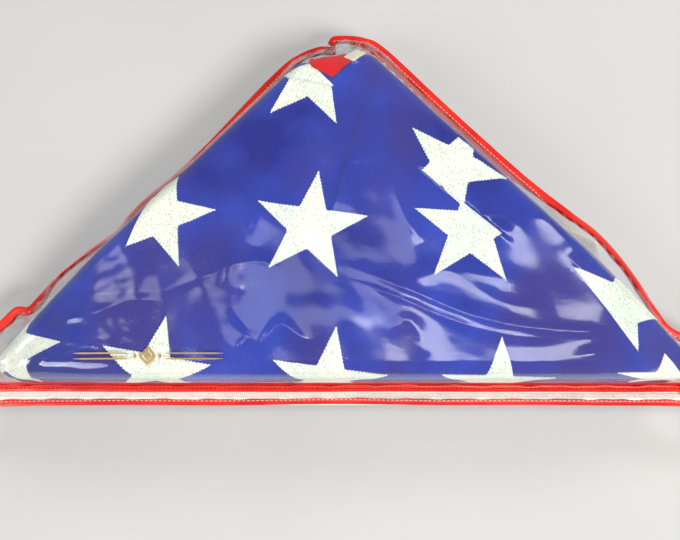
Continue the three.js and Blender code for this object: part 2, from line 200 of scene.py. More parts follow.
def relief(p):
    """Height of the flag's face: loose cloth, edges of the layers and soft folds."""
    z = 1.4 * grain(p, 70, 3.1)
    z += 0.8 * grain(p, 24, 8.4, (0.7, 2.2), 0.35, octaves=1)
    z += step_edge(p, FOLD_A, FOLD_B, 1.6, 1.7, 30)
    z += step_edge(p, (12, 212), (-11, 134), 1.6, 1.9, 20)
    z += step_edge(p, (88, 203), (104, 168), 1.6, 1.2, 16)
    z += step_edge(p, (173, 90), (222, 26), 1.6, 1.3, 18)
    z += step_edge(p, FLAP_B, FLAP_A, 1.4, 1.5, 22)
    z += step_edge(p, (-54, 247), (-4, 235), 1.5, -1.2, 18)
    z += ridge(p, [(-40, 190), (0, 175), (60, 186)], 9, 1.5)
    z += ridge(p, [(-118, 158), (-92, 132), (-84, 96), (-96, 60)], 8, 1.5)
    z += ridge(p, [(30, 60), (70, 84), (140, 76)], 9, 1.2)
    z += ridge(p, [(34, 170), (42, 138), (58, 106)], 5, 1.6)
    z += ridge(p, [(-84, 176), (-66, 140), (-70, 104)], 7, 1.4)
    z += ridge(p, [(20, 236), (52, 214), (74, 196)], 6, 1.2)
    return z


def belly(down):
    """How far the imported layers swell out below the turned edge."""
    return 2.4 * smooth(0, 15, down) * smooth(62, 36, down)


def drape(p, lift=0.0):
    """Where points of the flag's flat face lie once it turns down over its edges."""
    d, near, out = away(p, CORE)
    angle = np.minimum(d / ROUND, math.pi / 2)
    down = np.maximum(d - ROUND * math.pi / 2, 0)
    r = ROUND + lift + relief(p) * smooth(ROUND * 1.5, 0, d)
    xy = near + out * (r * np.sin(angle) + belly(down))[:, None]
    z = TOP - droop(near[:, 0]) - ROUND + r * np.cos(angle) - down
    return np.column_stack([xy, z])


# ---- the front panel's face ----
right_line = curve_points(RIGHT_SEAM, 2.5)
left_line = curve_points(LEFT_SEAM, 2.5)
side_line = np.vstack([right_line, left_line[left_line[:, 0] < -16.5]])
RIM_HALF = 326.0  # half length of the panels' straight edges along the zip
RIM_STEP = 4


def bottom_edge(y):
    n = int(-2 * left_line[-1][0] / RIM_STEP)
    return np.column_stack([np.linspace(-RIM_HALF, RIM_HALF, n), np.full(n, y)])


upper_sides = side_line[side_line[:, 1] > -2.5]
front_rim = np.vstack([upper_sides, bottom_edge(-2.6)[1:-1]])
back_rim = np.vstack([side_line, bottom_edge(-15.2)[1:-1]])

# Folds of slack film: a curve, its width and its height.
FLOW = [
    ([(-14, 92), (24, 80), (62, 64), (107, 47), (165, 39), (236, 40)], 5.5, 1.7),
    ([(-2, 80), (40, 64), (82, 46), (120, 36), (172, 31)], 4.5, 1.1),
    ([(60, 96), (92, 76), (120, 60), (150, 55)], 5, 0.7),
    ([(-236, 34), (-190, 30), (-150, 22), (-104, 16)], 5, 1.0),
    ([(-226, 46), (-190, 52), (-160, 62), (-132, 60)], 6, 0.9),
    ([(160, 18), (196, 24), (232, 20), (262, 30)], 7, 1.6),
    ([(140, 128), (160, 122), (172, 108), (164, 94)], 5, 0.8),
    ([(30, 34), (46, 48), (58, 30), (50, 16)], 7, 1.3),
    ([(-92, 18), (-72, 36), (-84, 58), (-76, 86)], 5, 1.1),
    ([(-66, 20), (-50, 44), (-36, 36), (-22, 28)], 5, 1.3),
    ([(-150, 62), (-112, 78), (-70, 92), (-44, 84)], 4, 0.7),
    ([(96, 120), (112, 130), (130, 124), (138, 108)], 4, 0.9),
    ([(-150, 150), (-176, 120), (-206, 92), (-232, 74)], 8, 1.0),
    ([(196, 118), (214, 92), (232, 66), (252, 44)], 7, 1.5),
]


def upturn(p):
    """Where the seam stands on edge: along the slack side on the left and a little on the right."""
    x = p[:, 0]
    left = smooth(-112, -142, x) * smooth(-262, -240, x)
    right = 0.6 * smooth(160, 205, x) * smooth(268, 250, x)
    return (left + right) * smooth(36, 56, p[:, 1])


def vinyl(p, rim):
    """Height of the front panel: taut from the binding to the flag's edge, then over the flag."""
    d1, near, _ = away(p, CORE)
    d2, along = to_line(p, rim)
    hold = 6.0 - 4.8 * smooth(12, 0, p[:, 1]) * smooth(318, 296, np.abs(p[:, 0]))
    turned = upturn(p)
    hold = hold - 3.0 * turned
    total = d1 + d2 - hold
    big = ROUND + 1.5 + 0.9 * grain(p, 34, 71.0, octaves=1) * smooth(hold, hold + 9, d2)
    centre = TOP - droop(near[:, 0]) - ROUND
    foot = SEAM_Z + 0.6 + 4.2 * turned
    reach = np.hypot(total, foot - centre)
    turn = np.arctan2(foot - centre, total) + np.arccos(np.clip(big / reach, -1, 1))
    xt, zt = big * np.cos(turn), centre + big * np.sin(turn)
    arc = centre + np.sqrt(np.maximum(big**2 - np.minimum(d1, big) ** 2, 0))
    u = np.clip((d1 - xt) / np.maximum(total - xt, 1e-3), 0, 1)
    z = np.where(d1 < xt, arc, zt + (foot - zt) * u + 0.36 * u * (1 - u) * (zt - foot))
    flat = smooth(0.95 * big, 0.1 * big, d1)
    free = smooth(hold, hold + 7, d2)
    z += flat * relief(p) * 0.9
    slack = 0.8 * grain(p, 95, 21.0) + 0.36 * grain(p, 36, 14.0, (1.8, 0.7), -0.35)
    slack += 0.10 * smooth(130, 60, p[:, 1]) * grain(p, 15, 31.0, (1.8, 0.8), -0.25)
    rucked = smooth(-125, -175, p[:, 0])
    slack += rucked * (0.5 * grain(p, 17, 37.0, (2.0, 0.7), 0.45) + 0.12 * grain(p, 7, 39.0))
    for points, width, height in FLOW:
        slack += ridge(p, points, width, height)
    z += (0.35 + 0.65 * flat) * free * (0.5 + np.log1p(np.exp(2 * slack)) / 2)
    tip = smooth(252, 274, p[:, 1])
    z += tip * free * (2.4 + 4.2 * (1 - 2.4 * np.abs(grain(p, 12, 44.0, (0.5, 1.7), -0.45))))
    ears = smooth(205, 262, np.abs(p[:, 0]))
    z += ears * free * 1.6 * (1 - 2 * np.abs(grain(p, 26, 52.0, (2.4, 0.6), 0.7)))
    edge = d2 - hold
    pucker = np.exp(-((edge - 3) ** 2) / 16.0) * smooth(0.0, 2.5, edge) * (p[:, 1] > 14)
    length = along * len(rim) * 2.5
    z += 2.2 * pucker * np.sin(length * 2 * math.pi / 11.0 + 1.5 * np.sin(length / 37.0))
    return np.where(d2 < hold, foot, np.maximum(z, foot))


# ---- meshes ----
def to_world(p):
    """From the case's plan, in millimetres, to the frame, in metres."""
    out = np.array(p, float) / 1000
    out[:, 1] += Y0
    return out


def make(name, points, faces, material, body="case", angle=None):
    mesh = bpy.data.meshes.new(name)
    mesh.from_pydata([tuple(v) for v in to_world(points)], [], faces)
    mesh.validate()
    mesh.update()
    for f in mesh.polygons:
        f.use_smooth = True
    if angle is not None:
        mesh.set_sharp_from_angle(angle=math.radians(angle))
    mesh.materials.append(material)
    obj = bpy.data.objects.new(name, mesh)
    bpy.context.collection.objects.link(obj)
    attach(obj, body)
    return obj


def loft_faces(rows, n):
    """Faces between rows of n points, each row a closed ring."""
    faces = []
    for r in range(rows - 1):
        a = r * n
        for i in range(n):
            j = (i + 1) % n
            faces.append((a + i, a + j, a + n + j, a + n + i))
    return faces


def ring_body(rings, first=None, last=None):
    """Points and faces of a stack of rings, closed by a point at either end if one is given."""
    n = len(rings[0])
    points = np.vstack(rings)
    faces = loft_faces(len(rings), n)
    if first is not None:
        faces += [(len(points), (i + 1) % n, i) for i in range(n)]
        points = np.vstack([points, first])
    if last is not None:
        base = (len(rings) - 1) * n
        faces += [(len(points), base + i, base + (i + 1) % n) for i in range(n)]
        points = np.vstack([points, last])
    return points, faces


def sweep(path, section):
    """A closed section of (outwards, up) points along a path of 3-D points; section may vary."""
    path = np.array(path, float)
    run = np.gradient(path[:, :2], axis=0)
    run /= np.linalg.norm(run, axis=1)[:, None]
    out = np.column_stack([run[:, 1], -run[:, 0]])
    rows = []
    for i in range(len(path)):
        s = np.array(section(i) if callable(section) else section, float)
        rows.append(np.column_stack([path[i, :2] + s[:, :1] * out[i], path[i, 2] + s[:, 1]]))
    n = len(rows[0])
    points = np.vstack(rows)
    faces = loft_faces(len(rows), n)
    faces.append(tuple(range(n - 1, -1, -1)))
    base = (len(rows) - 1) * n
    faces.append(tuple(range(base, base + n)))
    return points, faces


def merged(parts):
    """Several bodies as one set of points and faces."""
    points, faces, base = [], [], 0
    for p, f in parts:
        points.append(p)
        faces += [tuple(v + base for v in face) for face in f]
        base += len(p)
    return np.vstack(points), faces


# ---- materials ----
def linear(*shade):
    """Linear colour of an 8-bit shade."""
    return tuple(((c / 255 + 0.055) / 1.055) ** 2.4 if c > 10 else c / 255 / 12.92 for c in shade) + (1.0,)


class Paint:
    """A material built node by node."""

    def __init__(self, name, colour, roughness, metallic=0.0, **sockets):
        self.mat = bpy.data.materials.new(name)
        self.mat.use_nodes = True
        self.tree = self.mat.node_tree
        self.shader = self.tree.nodes["Principled BSDF"]
        self.shader.inputs["Base Color"].default_value = colour
        self.shader.inputs["Roughness"].default_value = roughness
        self.shader.inputs["Metallic"].default_value = metallic
        for key, value in sockets.items():
            self.shader.inputs[key.replace("_", " ")].default_value = value
        self.coords = self.add("ShaderNodeTexCoord").outputs["Object"]

    def add(self, kind, **settings):
        node = self.tree.nodes.new(kind)
        for key, value in settings.items():
            if hasattr(node, key):
                setattr(node, key, value)
            else:
                node.inputs[key].default_value = value
        return node

    def link(self, a, b):
        self.tree.links.new(a, b)

    def stretched(self, scale, turn=0.0):
        node = self.add("ShaderNodeMapping")
        node.inputs["Scale"].default_value = scale
        node.inputs["Rotation"].default_value = (0, 0, turn)
        self.link(self.coords, node.inputs["Vector"])
        return node.outputs["Vector"]

    def noise(self, scale, detail=3.0, at=None, distortion=0.0):
        node = self.add("ShaderNodeTexNoise", Scale=scale, Detail=detail, Distortion=distortion)
        self.link(at or self.coords, node.inputs["Vector"])
        return node.outputs["Fac"]

    def ramp(self, value, stops):
        node = self.add("ShaderNodeValToRGB")
        bar = node.color_ramp
        while len(bar.elements) < len(stops):
            bar.elements.new(0.5)
        for e, (at, colour) in zip(bar.elements, stops):
            e.position = at
            e.color = colour if len(colour) == 4 else (*colour, 1)
        self.link(value, node.inputs["Fac"])
        return node.outputs["Color"]

    def mix(self, a, b, factor, kind="MIX"):
        node = self.add("ShaderNodeMix", data_type="RGBA", blend_type=kind)
        for socket, value in ((0, factor), (6, a), (7, b)):
            if isinstance(value, (tuple, float, int)):
                node.inputs[socket].default_value = value
            else:
                self.link(value, node.inputs[socket])
        return node.outputs[2]

    def bump(self, height, distance, strength=1.0):
        node = self.add("ShaderNodeBump", Strength=strength, Distance=distance)
        self.link(height, node.inputs["Height"])
        if self.shader.inputs["Normal"].is_linked:
            self.link(self.shader.inputs["Normal"].links[0].from_socket, node.inputs["Normal"])
        self.link(node.outputs["Normal"], self.shader.inputs["Normal"])

    def colour(self, value):
        self.link(value, self.shader.inputs["Base Color"])


def grey(v):
    return (v, v, v, 1.0)


def cloth(name, deep, light, cool=None):
    """Woven cotton: a cloudy colour, flecks and two sets of threads."""
    m = Paint(name, deep, 0.88)
    m.shader.inputs["Sheen Weight"].default_value = 0.25
    m.shader.inputs["Sheen Roughness"].default_value = 0.5
    cast = m.ramp(m.noise(12, 5), [(0.34, deep), (0.68, light)])
    if cool:
        clouds = m.noise(9, 4, m.stretched((1.4, 0.8, 1), 0.5))
        patchy = m.ramp(clouds, [(0.46, grey(0.0)), (0.66, grey(0.9))])
        cast = m.mix(cast, cool, patchy)
    fleck = m.ramp(m.noise(900, 2), [(0.4, grey(0.82)), (0.62, grey(1.0))])
    m.colour(m.mix(cast, fleck, 1.0, "MULTIPLY"))
    for turn in (0.0, math.pi / 2):
        m.bump(m.noise(1100, 1, m.stretched((1, 0.12, 1), turn)), 0.00012, 0.6)
    return m.mat


BLUE = cloth("blue_cloth", linear(26, 36, 140), linear(54, 78, 192), linear(62, 52, 138))
RED = cloth("red_cloth", linear(206, 8, 20), linear(232, 14, 26))
CREAM = cloth("cream_cloth", linear(232, 222, 190), linear(243, 236, 210))


def star_thread():
    """Satin stitches, with small gaps between them."""
    m = Paint("star_thread", linear(238, 242, 226), 0.8)
    m.shader.inputs["Sheen Weight"].default_value = 0.2
    cast = m.ramp(m.noise(26, 3), [(0.35, linear(226, 236, 222)), (0.7, linear(246, 246, 228))])
    marks = m.add("ShaderNodeTexVoronoi", Scale=760.0)
    m.link(m.stretched((1, 0.45, 1), 0.6), marks.inputs["Vector"])
    dots = m.ramp(marks.outputs["Distance"], [(0.12, linear(178, 190, 172)), (0.4, grey(1.0))])
    chosen = m.ramp(m.noise(160, 2), [(0.36, grey(0.0)), (0.5, grey(1.0))])
    m.colour(m.mix(cast, m.mix(grey(1.0), dots, chosen), 1.0, "MULTIPLY"))
    m.bump(m.noise(620, 2, m.stretched((1, 0.2, 1), 0.6)), 0.0002, 0.8)
    m.bump(m.noise(90, 3), 0.0004, 0.4)
    return m.mat


def red_vinyl():
    m = Paint("red_vinyl", linear(226, 38, 24), 0.32, Coat_Weight=0.35, Coat_Roughness=0.12)
    m.colour(m.ramp(m.noise(40, 3), [(0.35, linear(212, 28, 20)), (0.7, linear(238, 50, 30))]))
    m.bump(m.noise(300, 3), 0.0002, 0.35)
    m.bump(m.noise(2200, 1), 0.00005, 0.4)
    return m.mat


def clear_vinyl(name, haze, tint):
    """A clear sheet: what is behind it, what it mirrors and a little haze."""
    m = Paint(name, (0.9, 0.92, 0.95, 1), 0.5)
    nodes = m.tree.nodes
    through = m.add("ShaderNodeBsdfTransparent")
    through.inputs["Color"].default_value = tint
    mirror = m.add("ShaderNodeBsdfGlossy", Roughness=0.13)
    mirror.inputs["Color"].default_value = (1, 1, 1, 1)
    bump = m.add("ShaderNodeBump", Strength=0.3, Distance=0.0002)
    m.link(m.noise(90, 3, m.stretched((1, 2, 1), 0.5), 0.6), bump.inputs["Height"])
    m.link(bump.outputs["Normal"], mirror.inputs["Normal"])
    fresnel = m.add("ShaderNodeFresnel", IOR=1.4)
    m.link(bump.outputs["Normal"], fresnel.inputs["Normal"])
    share = m.add("ShaderNodeMath", operation="MINIMUM")
    m.link(fresnel.outputs[0], share.inputs[0])
    share.inputs[1].default_value = 0.13
    milk = m.add("ShaderNodeBsdfDiffuse")
    milk.inputs["Color"].default_value = (0.85, 0.88, 0.92, 1)
    veil = m.add("ShaderNodeMixShader")
    veil.inputs[0].default_value = haze
    m.link(through.outputs[0], veil.inputs[1])
    m.link(milk.outputs[0], veil.inputs[2])
    surface = m.add("ShaderNodeMixShader")
    m.link(share.outputs[0], surface.inputs[0])
    m.link(veil.outputs[0], surface.inputs[1])
    m.link(mirror.outputs[0], surface.inputs[2])
    m.link(surface.outputs[0], nodes["Material Output"].inputs["Surface"])
    nodes.remove(m.shader)
    return m.mat


RED_VINYL = red_vinyl()
STAR = star_thread()
FRONT_CLEAR = clear_vinyl("front_vinyl", 0.003, (0.992, 0.994, 0.998, 1))
BACK_CLEAR = clear_vinyl("back_vinyl", 0.01, (0.98, 0.985, 0.99, 1))


def thread(name, colour):
    m = Paint(name, colour, 0.6)
    m.bump(m.noise(1500, 2, m.stretched((1, 0.3, 1), 0.8)), 0.0001, 0.6)
    return m.mat


PALE_THREAD = thread("pale_thread", linear(250, 178, 168))
DARK_THREAD = thread("dark_thread", linear(120, 20, 16))


def tape():
    m = Paint("zip_tape", linear(252, 248, 236), 0.75)
    m.colour(m.ramp(m.noise(60, 3), [(0.3, linear(248, 242, 228)), (0.7, linear(255, 252, 244))]))
    for turn in (0.0, math.pi / 2):
        m.bump(m.noise(1300, 1, m.stretched((1, 0.1, 1), turn)), 0.0001, 0.7)
    return m.mat


def nylon():
    m = Paint("coil_nylon", linear(248, 246, 238), 0.35, Coat_Weight=0.2)
    m.colour(m.ramp(m.noise(200, 2), [(0.3, linear(240, 236, 226)), (0.7, linear(252, 250, 244))]))
    return m.mat


def metal(name, colour, roughness):
    m = Paint(name, colour, roughness, 1.0)
    wear = m.ramp(m.noise(700, 4), [(0.35, grey(roughness * 0.7)), (0.7, grey(roughness * 1.5))])
    m.link(wear, m.shader.inputs["Roughness"])
    m.bump(m.noise(500, 3, m.stretched((1, 0.15, 1))), 0.00004, 0.5)
    return m.mat


TAPE = tape()
NYLON = nylon()
NICKEL = metal("nickel", linear(205, 204, 200), 0.24)
BRASS = metal("brass", linear(186, 148, 74), 0.34)
FOIL = metal("gold_foil", linear(240, 200, 118), 0.5)

# ---- folded flag ----
FACE_REACH = 3.0  # how far the face's rings run past the core before they turn down
WALL_ROWS = 43
LAYER = 6.6  # height of one folded layer at the walls
BOTTOM_ROUND = 10


def core_outline():
    """Points round the flag's core and the direction outwards at each."""
    spots, outs = [], []
    count = len(CORE)
    for i in range(count):
        a, b = CORE[i], CORE[(i + 1) % count]
        before = a - CORE[i - 1]
        d = (b - a) / np.linalg.norm(b - a)
        before = before / np.linalg.norm(before)
        n0 = np.array([before[1], -before[0]])
        n1 = np.array([d[1], -d[0]])
        fan = max(3, int(math.degrees(math.acos(np.clip(n0 @ n1, -1, 1))) / 7))
        for k in range(fan):
            n = n0 * (1 - k / fan) + n1 * (k / fan)
            spots.append(a)
            outs.append(n / np.linalg.norm(n))
        steps = int(np.linalg.norm(b - a) / 2.6)
        for k in range(steps):
            spots.append(a + (b - a) * k / steps)
            outs.append(n1)
    return np.array(spots), np.array(outs)


def flag_walls(rim, outs, base_z):
    """Rings down the walls, where the edges of the folded layers show."""
    rings = []
    along = np.arange(len(rim)) * 0.09
    wander = np.array([noise.noise(Vector((a * 0.35, 3.7, 0.0))) for a in along])
    for k in range(1, WALL_ROWS + 1):
        z = rim[:, 2] + (base_z - rim[:, 2]) * k / WALL_ROWS
        phase = (z + 3.2 * wander) / LAYER
        groove = (1 - np.abs(np.sin(math.pi * phase))) ** 3
        layers = zip(along, np.floor(phase))
        proud = np.array([noise.noise(Vector((a * 0.8, s * 3.1, 9.0))) for a, s in layers])
        fade = smooth(0, 6, k) * smooth(WALL_ROWS, WALL_ROWS - 5, k)
        out = belly(rim[:, 2] - z) - belly(0.0) + (0.7 * proud - 1.8 * groove) * fade
        rings.append(np.column_stack([rim[:, :2] + outs * out[:, None], z]))
    return rings


def folded_flag():
    spots, outs = core_outline()
    base = spots + outs * FACE_REACH
    rings = []
    for s in np.linspace(0.02, 1, 78):
        rings.append(drape(CENTRE + (base - CENTRE) * s))
    for d in np.linspace(FACE_REACH, ROUND * math.pi / 2, 9)[1:]:
        rings.append(drape(spots + outs * d))
    base_z = LOW + BOTTOM_ROUND
    rings += flag_walls(rings[-1], outs, base_z)
    for k in range(1, 6):
        a = math.pi / 2 * k / 5
        plan = spots + outs * (ROUND - BOTTOM_ROUND * (1 - math.cos(a)))
        rings.append(np.column_stack([plan, np.full(len(spots), base_z - BOTTOM_ROUND * math.sin(a))]))
    for s in np.linspace(0.95, 0.05, 12):
        plan = CENTRE + (spots + outs * (ROUND - BOTTOM_ROUND) - CENTRE) * s
        rings.append(np.column_stack([plan, np.full(len(spots), LOW + 0.2)]))
    middle = drape(CENTRE[None, :])
    points, faces = ring_body(rings, middle, [[*CENTRE, LOW + 0.2]])
    faces = [f[::-1] for f in faces]
    obj = make("folded_flag", points, faces, BLUE)
    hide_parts("flag_wrap_upper", "flag_wrap_under", "flag_stripe_folds")


folded_flag()


# ---- stars ----
STITCH = 1.3  # between the teeth of a star's satin edge
BITE = 0.38  # how far the teeth stand out or in


def star_outline(radius):
    """A five-pointed star with the small teeth of its satin stitches."""
    corners = []
    for i in range(10):
        r = radius if i % 2 == 0 else radius * 0.392
        a = math.pi / 2 + i * math.pi / 5
        corners.append((r * math.cos(a), r * math.sin(a)))
    corners = np.array(corners)
    out = []
    for a, b in zip(corners, np.roll(corners, -1, 0)):
        n = int(np.linalg.norm(b - a) / STITCH)
        d = (b - a) / np.linalg.norm(b - a)
        outwards = np.array([d[1], -d[0]])
        for k in range(n):
            tooth = (BITE if k % 2 else -BITE) if 0 < k else 0
            out.append(a + (b - a) * k / n + outwards * (tooth + random.uniform(-0.12, 0.12)))
    return np.array(out)


def cut_flat(points, faces, cuts):
    """Cuts a flat patch. Each cut is a line to keep left of, and any more lines bound where it acts."""
    points = points.copy()
    for lines in cuts:
        bad = np.ones(len(points), bool)
        first = None
        for a, b in lines:
            a, b = np.array(a, float), np.array(b, float)
            d = (b - a) / np.linalg.norm(b - a)
            side = d[0] * (points[:, 1] - a[1]) - d[1] * (points[:, 0] - a[0])
            bad &= side < 0
            first = first or (side, np.array([-d[1], d[0]]))
        faces = [f for f in faces if not all(bad[v] for v in f)]
        used = {v for f in faces for v in f}
        pull = np.array([bad[v] and v in used for v in range(len(points))])
        points[pull] -= first[0][pull][:, None] * first[1]
    used = sorted({v for f in faces for v in f})
    place = {v: i for i, v in enumerate(used)}
    return points[used], [tuple(place[v] for v in f) for f in faces]


def raised(points, faces, height, thick, base):
    """Lays a flat patch on a surface and gives it an edge. base maps plan points and a lift to 3-D."""
    top = base(points, height)
    low = base(points, height - thick)
    edges = {}
    for f in faces:
        for a, b in zip(f, f[1:] + f[:1]):
            edges[(a, b)] = edges.get((a, b), 0) + 1
    n = len(points)
    walls = [(a, n + a, n + b, b) for a, b in edges if (b, a) not in edges]
    return np.vstack([top, low]), list(faces) + walls + [tuple(n + v for v in f[::-1]) for f in faces]


# Each star: centre, radius, turn and the lines that folds cut it along.
STARS = {
    "middle": ((-27, 120), 45, 8, []),
    "left": ((-144, 129), 44, 13, [[((-152, 150), (-172, 92))], [((-112, 172), (-150, 152))]]),
    "right_high": (
        (84, 168), 44.5, 29, [[((58, 167), (90, 138))], [((100, 182), (88, 194)), ((130, 178), (70, 178))]],
    ),
    "right_low": ((97, 117), 46.5, 4, [[((126, 109), (62, 165))]]),
    "tip": ((-27, 246), 46, 10, [[((-28, 259.5), (-58, 246.5))], [((-8, 237), (-30, 259.5))]]),
    "far_right": ((208, 58), 47, 22, [[((173, 88), (218, 28))], [((240, 68), (206, 82))]]),
    "front_left": ((-142, 8), 43, 10, []),
    "front_middle": ((-13, -2), 45, 8, []),
    "front_right": ((114, -10), 45, 3, []),
    "corner_left": ((-258, 27), 44, 12, []),
    "front_far_right": ((247, 3), 45, -4, []),
}  # fmt: skip


def place_star(name, centre, radius, turn, cuts):
    outline = star_outline(radius)
    a = -math.radians(turn)
    spin = np.array([[math.cos(a), math.sin(a)], [-math.sin(a), math.cos(a)]])
    outline = outline @ spin
    if name == "front_far_right":
        outline[:, 1] *= 0.45  # it lies on cloth that turns away
    outline += np.array(centre)
    rings = [np.array(centre) + (outline - np.array(centre)) * s for s in np.linspace(0.06, 1, 22)]
    points, faces = ring_body(rings, np.array([centre], float))
    if cuts:
        points, faces = cut_flat(points, faces, cuts)
    points, faces = raised(points, faces, 0.75, 1.2, drape)
    obj = make(f"star_{name}", points, faces, STAR, angle=50)
    if name != "front_far_right":
        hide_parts(f"star_{name}")


for key, (centre, radius, turn, cuts) in STARS.items():
    place_star(key, centre, radius, turn, cuts)


# ---- layers that show at the tip, and the heading ----
def patch(name, corners, material, height, thick, base):
    """A flat piece of cloth laid on a surface, in place of the CAD node of the same name."""
    corners = np.array(corners, float)
    middle = corners.mean(0)
    rim = even(np.vstack([corners, corners[:1]]), 2.2)[:-1]
    rings = [middle + (rim - middle) * s for s in np.linspace(0.1, 1, 9)]
    points, faces = ring_body(rings, middle[None, :])
    points, faces = raised(points, faces, height, thick, base)
    obj = make(name, points, faces, material, angle=50)
    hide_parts(name)


def tip_layer(p, lift):
    """The layers inside the pocket run on past the flag's end, a little lower."""
    out = drape(np.column_stack([p[:, 0], np.minimum(p[:, 1], 250)]), lift)
    beyond = np.maximum(p[:, 1] - 250, 0)
    out[:, 1] += beyond * 0.98
    out[:, 2] -= 0.035 * beyond**1.7
    return out


red_end = [(-10, 245), (9, 263), (0, 268), (-30, 262), (-27, 254)]
white_end = [(-1, 264), (7, 258.5), (18, 268.5), (10, 273)]
patch("flag_red_end", red_end, RED, 1.5, 0.8, tip_layer)
patch("flag_white_end", white_end, CREAM, 2.0, 0.8, tip_layer)


def side_place(p, lift):
    """The heading stands against the flag's right-hand slope and its upper edge flares outwards.
    First coordinate along the slope, second up it."""
    along = np.array([math.sqrt(0.5), -math.sqrt(0.5)])
    out = np.array([math.sqrt(0.5), math.sqrt(0.5)])
    flare = 0.62 * np.maximum(p[:, 1:2] - 44, 0)
    foot = 297 / math.sqrt(2)
    xy = p[:, :1] * along + (foot + lift + flare) * out
    return np.column_stack([xy, p[:, 1] + lift * 0.4])


heading = [(26, 30), (76, 30), (72, 58), (64, 63), (26, 52)]
patch("flag_heading", heading, CREAM, 0.0, 1.2, side_place)


def grommet():
    turns, sides = 40, 10
    rings = []
    for i in range(turns):
        a = 2 * math.pi * i / turns
        ring = []
        for k in range(sides):
            b = 2 * math.pi * k / sides
            r = 4.0 + 1.3 * math.cos(b)
            flat = np.array([[64 + r * math.cos(a), 38 + r * math.sin(a)]])
            ring.append(side_place(flat, 0.5 + 0.8 * math.sin(b))[0])
        rings.append(np.array(ring))
    points = np.vstack(rings)
    faces = []
    for i in range(turns):
        for k in range(sides):
            a, b = i * sides, ((i + 1) % turns) * sides
            faces.append((a + k, b + k, b + (k + 1) % sides, a + (k + 1) % sides))
    obj = make("flag_grommet", points, faces, BRASS)
    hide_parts("flag_grommet")


grommet()


# ---- clear panels ----
SHEET = 0.45  # thickness of the panels


def shell(rings, middle, name, material, replace):
    """A thin sheet: the stack of rings and its copy one thickness below."""
    n = len(rings[0])
    top, faces = ring_body(rings, middle)
    low = top.copy()
    low[:, 2] -= SHEET
    count = len(top)
    faces = faces + [tuple(count + v for v in f[::-1]) for f in faces]
    base = (len(rings) - 1) * n
    for i in range(n):
        a, b = base + i, base + (i + 1) % n
        faces.append((a, b, count + b, count + a))
    obj = make(name, np.vstack([top, low]), [f[::-1] for f in faces], material, angle=70)
    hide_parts(replace)
    return obj


def front_panel():
    rings = []
    for s in 1 - np.concatenate([np.linspace(0.985, 0.27, 70), np.linspace(0.263, 0, 64)]):
        plan = CENTRE + (front_rim - CENTRE) * s
        rings.append(np.column_stack([plan, vinyl(plan, front_rim)]))
    middle = np.column_stack([CENTRE[None, :], vinyl(CENTRE[None, :], front_rim)])
    obj = shell(rings, middle, "front_panel_vinyl", FRONT_CLEAR, "front_panel")


def back_panel():
    rings = []
    for s in 1 - np.concatenate([np.linspace(0.97, 0.3, 16), np.linspace(0.28, 0, 34)]):
        plan = CENTRE + (back_rim - CENTRE) * s
        d1, _, _ = away(plan, CORE)
        d2, _ = to_line(plan, back_rim)
        t = d1 / np.maximum(d1 + d2, 1e-6)
        z = (SEAM_Z - 0.8) * t**1.9
        z += smooth(0, 8, d2) * smooth(0, 6, d1) * 1.2 * np.abs(grain(plan, 24, 61.0))
        rings.append(np.column_stack([plan, np.maximum(z, 0) + 0.5]))
    rings[-1][:, 2] = SEAM_Z - 0.5
    obj = shell(rings, np.array([[*CENTRE, 0.5]]), "back_panel_vinyl", BACK_CLEAR, "back_panel")


front_panel()
back_panel()


# ---- red binding and its stitching ----
LEG = 6.0  # width of a side binding's legs


def binding_section(i, leg=LEG, half=1.75, seed=0.0):
    """Vinyl folded over the panel edges: two legs with a rounded fold between them."""
    a = i * 0.23 + seed
    w = 0.35 * math.sin(a * 1.7) + 0.25 * math.sin(a * 3.9 + 1)
    h = half + 0.12 * math.sin(a * 2.3)
    fold = [(0.1 + 1.0 * math.sin(t), -h * math.cos(t)) for t in np.linspace(0, math.pi, 9)]
    legs_out = [(-leg + w, -h + 0.25), (-leg * 0.78, -h + 0.02), (-leg * 0.4, -h - 0.05)]
    legs_back = [(-leg * 0.4, h + 0.05), (-leg * 0.78, h - 0.02), (-leg + w, h - 0.25)]
    inner = [(-leg + w, 0.55), (-1.0, 0.5), (-1.0, -0.5), (-leg + w, -0.55)]
    return legs_out + fold + legs_back + inner


def wavy(line, seed):
    """A plan line at the seam's height, rising and falling a little."""
    rise = [0.7 * noise.noise(Vector((i * 0.045, seed, 0.0))) for i in range(len(line))]
    return np.column_stack([line, np.array(rise) + SEAM_Z])


def stitches(path, offset, height, both=True):
    """Dashes of thread along a seam, standing a little out of the vinyl."""
    gap, length, thick = 3.7, 2.7, 0.3
    circle = np.linspace(0, 2 * math.pi, 7)[:-1]
    path = even(np.array(path, float), gap)
    run = np.gradient(path, axis=0)
    run /= np.linalg.norm(run, axis=1)[:, None]
    side = np.column_stack([run[:, 1], -run[:, 0], np.zeros(len(run))])
    side /= np.linalg.norm(side, axis=1)[:, None]
    up = np.cross(side, run)
    parts = []
    for sign in (1, -1) if both else (1,):
        for p, r, s, u in zip(path, run, side, up):
            u = u * math.copysign(1, u[2]) * sign
            tilt = random.uniform(-0.06, 0.06)
            r2 = r + s * tilt
            rows = []
            for t in (-0.5, -0.36, 0, 0.36, 0.5):
                sink = thick * (1.6 * (2 * t) ** 4)
                centre = p + s * offset + u * (height + thick * 0.35 - sink) + r2 * (length * t)
                w = thick * (0.75 if abs(t) > 0.4 else 1.0)
                rows.append([centre + s * w * 1.25 * math.cos(b) + u * w * math.sin(b) for b in circle])
            pts = np.vstack(rows)
            faces = loft_faces(5, 6) + [tuple(range(5, -1, -1)), tuple(range(24, 30))]
            parts.append((pts, faces))
    return merged(parts)


